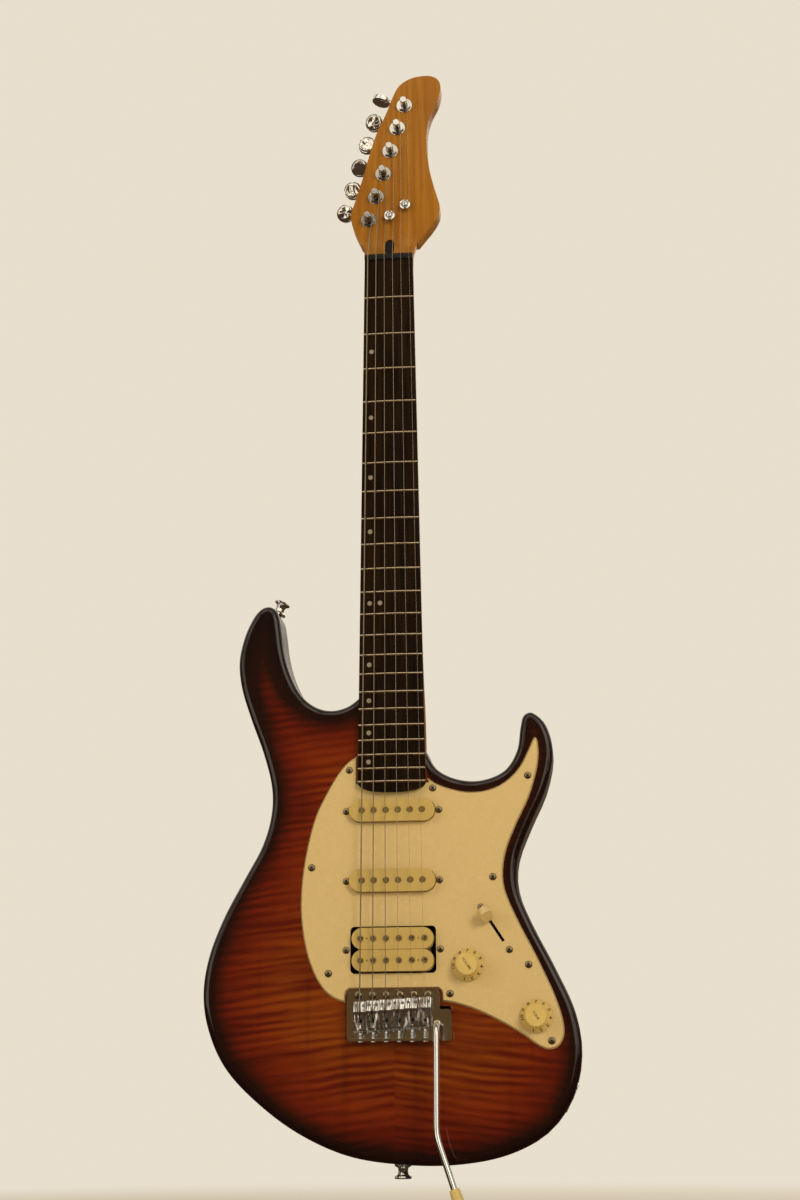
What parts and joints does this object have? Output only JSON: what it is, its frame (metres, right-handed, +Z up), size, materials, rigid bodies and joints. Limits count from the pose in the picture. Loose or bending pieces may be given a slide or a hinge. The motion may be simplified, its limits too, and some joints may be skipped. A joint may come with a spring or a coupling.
{
  "type": "electric guitar",
  "caption": "Solid-body electric guitar with flamed sunburst top, cream pickguard, one humbucker and single coils, spring vibrato bridge and in-line tuners on a bolt-on neck",
  "frame": {"origin": "on the centreline at the nut, level with the body's front face, inside the neck where a hanger's fork takes the weight", "axes": "+Z up along the neck towards the headstock, +Y out of the back, +X towards the treble side, so the front faces -Y"},
  "size_m": [0.305, 0.0937, 0.9957],
  "materials": {
    "flamed_top": "flamed maple in a glossy sunburst, amber to near black",
    "body_wood": "dark red-black gloss lacquer",
    "neck_maple": "satin amber maple",
    "rosewood": "oiled rosewood",
    "fret_wire": "polished nickel silver",
    "dot_pearl": "pale pearl dots",
    "nut_black": "black graphite",
    "steel": "plain steel",
    "chrome": "polished chrome",
    "screw_nickel": "aged nickel",
    "cream_sheet": "aged cream sheet",
    "cream_moulded": "aged cream mouldings",
    "coil_black": "black tape and fibre",
    "magnet": "grey magnet alloy",
    "cover_black": "black sheet",
    "string_wire": "plain and wound steel strings"
  },
  "bodies": {
    "guitar": {"body_back": "body_wood", "body_top": "flamed_top", "neck": "neck_maple", "fingerboard": "rosewood", "frets": "fret_wire", "fret_dots": "dot_pearl", "nut": "nut_black", "truss_rod": "steel", "neck_ferrules": "chrome", "neck_screws": "chrome", "string_trees": "chrome", "tuner_housings": "chrome", "tuner_nuts": "chrome", "strap_buttons": "chrome", "pickguard": "cream_sheet", "cover_screws": "screw_nickel", "single_coil_covers": "cream_moulded", "single_coils": "coil_black", "single_coil_magnets": "magnet", "humbucker_bobbins": "cream_moulded", "humbucker_coils": "coil_black", "humbucker_base": "coil_black", "humbucker_magnet": "magnet", "humbucker_poles": "screw_nickel", "pickup_screws": "screw_nickel", "potentiometers": "steel", "switch_frame": "steel", "output_jack": "chrome", "jack_cup": "chrome", "pivot_screws": "chrome", "spring_claw": "steel", "claw_screws": "steel", "back_cover": "cover_black", "strings": "string_wire", "vibrato_springs": "steel"},
    "vibrato": {"bridge_plate": "chrome", "sustain_block": "steel", "block_screws": "chrome", "saddles": "chrome", "saddle_screws": "steel", "intonation_screws": "chrome", "intonation_springs": "steel"},
    "arm": {"vibrato_arm": "chrome", "arm_tip": "cream_moulded"},
    "volume": {"volume_knob": "cream_moulded"},
    "tone": {"tone_knob": "cream_moulded"},
    "selector": {"switch_lever": "steel", "switch_tip": "cream_moulded"},
    "post_1": {"tuner_post_1": "chrome"},
    "button_1": {"tuner_button_1": "chrome"},
    "post_2": {"tuner_post_2": "chrome"},
    "button_2": {"tuner_button_2": "chrome"},
    "post_3": {"tuner_post_3": "chrome"},
    "button_3": {"tuner_button_3": "chrome"},
    "post_4": {"tuner_post_4": "chrome"},
    "button_4": {"tuner_button_4": "chrome"},
    "post_5": {"tuner_post_5": "chrome"},
    "button_5": {"tuner_button_5": "chrome"},
    "post_6": {"tuner_post_6": "chrome"},
    "button_6": {"tuner_button_6": "chrome"}
  },
  "joints": [
    {"name": "vibrato_tilt", "type": "hinge", "parent": "guitar", "child": "vibrato", "pos_m": [0, -0.0026, -0.638], "axis": [-1, 0, 0], "range_deg": [-3, 8], "stiffness_Nm_per_rad": 12, "deforming": ["strings", "vibrato_springs"]},
    {"name": "arm_swivel", "type": "hinge", "parent": "vibrato", "child": "arm", "pos_m": [0.0362, 0, -0.661], "axis": [0, -1, 0], "continuous": true},
    {"name": "volume_turn", "type": "hinge", "parent": "guitar", "child": "volume", "pos_m": [0.0601, 0, -0.6152], "axis": [0, -1, 0], "range_deg": [-150, 150]},
    {"name": "tone_turn", "type": "hinge", "parent": "guitar", "child": "tone", "pos_m": [0.114, 0, -0.656], "axis": [0, -1, 0], "range_deg": [-150, 150]},
    {"name": "selector_throw", "type": "hinge", "parent": "guitar", "child": "selector", "pos_m": [0.0825, 0.015, -0.5864], "axis": [0.8377, 0, 0.5461], "range_deg": [0, 50]},
    {"name": "button_1_turn", "type": "hinge", "parent": "guitar", "child": "button_1", "pos_m": [-0.01599, 0.0205, 0.0536], "axis": [-0.9598, 0, 0.2807], "continuous": true},
    {"name": "post_1_turn", "type": "hinge", "parent": "guitar", "child": "post_1", "pos_m": [-0.0188, 0, 0.044], "axis": [0, -1, 0], "continuous": true},
    {"name": "button_2_turn", "type": "hinge", "parent": "guitar", "child": "button_2", "pos_m": [-0.00943, 0.0205, 0.07606], "axis": [-0.9598, 0, 0.2807], "continuous": true},
    {"name": "post_2_turn", "type": "hinge", "parent": "guitar", "child": "post_2", "pos_m": [-0.01223, 0, 0.06646], "axis": [0, -1, 0], "continuous": true},
    {"name": "button_3_turn", "type": "hinge", "parent": "guitar", "child": "button_3", "pos_m": [-0.00286, 0.0205, 0.09852], "axis": [-0.9598, 0, 0.2807], "continuous": true},
    {"name": "post_3_turn", "type": "hinge", "parent": "guitar", "child": "post_3", "pos_m": [-0.00566, 0, 0.08892], "axis": [0, -1, 0], "continuous": true},
    {"name": "button_4_turn", "type": "hinge", "parent": "guitar", "child": "button_4", "pos_m": [0.00371, 0.0205, 0.12098], "axis": [-0.9598, 0, 0.2807], "continuous": true},
    {"name": "post_4_turn", "type": "hinge", "parent": "guitar", "child": "post_4", "pos_m": [0.0009, 0, 0.11138], "axis": [0, -1, 0], "continuous": true},
    {"name": "button_5_turn", "type": "hinge", "parent": "guitar", "child": "button_5", "pos_m": [0.01028, 0.0205, 0.14344], "axis": [-0.9598, 0, 0.2807], "continuous": true},
    {"name": "post_5_turn", "type": "hinge", "parent": "guitar", "child": "post_5", "pos_m": [0.00747, 0, 0.13384], "axis": [0, -1, 0], "continuous": true},
    {"name": "button_6_turn", "type": "hinge", "parent": "guitar", "child": "button_6", "pos_m": [0.01684, 0.0205, 0.16589], "axis": [-0.9598, 0, 0.2807], "continuous": true},
    {"name": "post_6_turn", "type": "hinge", "parent": "guitar", "child": "post_6", "pos_m": [0.01404, 0, 0.1563], "axis": [0, -1, 0], "continuous": true}
  ],
  "couplings": [
    {"joint": "post_1_turn", "follows": "button_1_turn", "ratio": 0.066667},
    {"joint": "post_2_turn", "follows": "button_2_turn", "ratio": 0.066667},
    {"joint": "post_3_turn", "follows": "button_3_turn", "ratio": 0.066667},
    {"joint": "post_4_turn", "follows": "button_4_turn", "ratio": 0.066667},
    {"joint": "post_5_turn", "follows": "button_5_turn", "ratio": 0.066667},
    {"joint": "post_6_turn", "follows": "button_6_turn", "ratio": 0.066667}
  ]
}
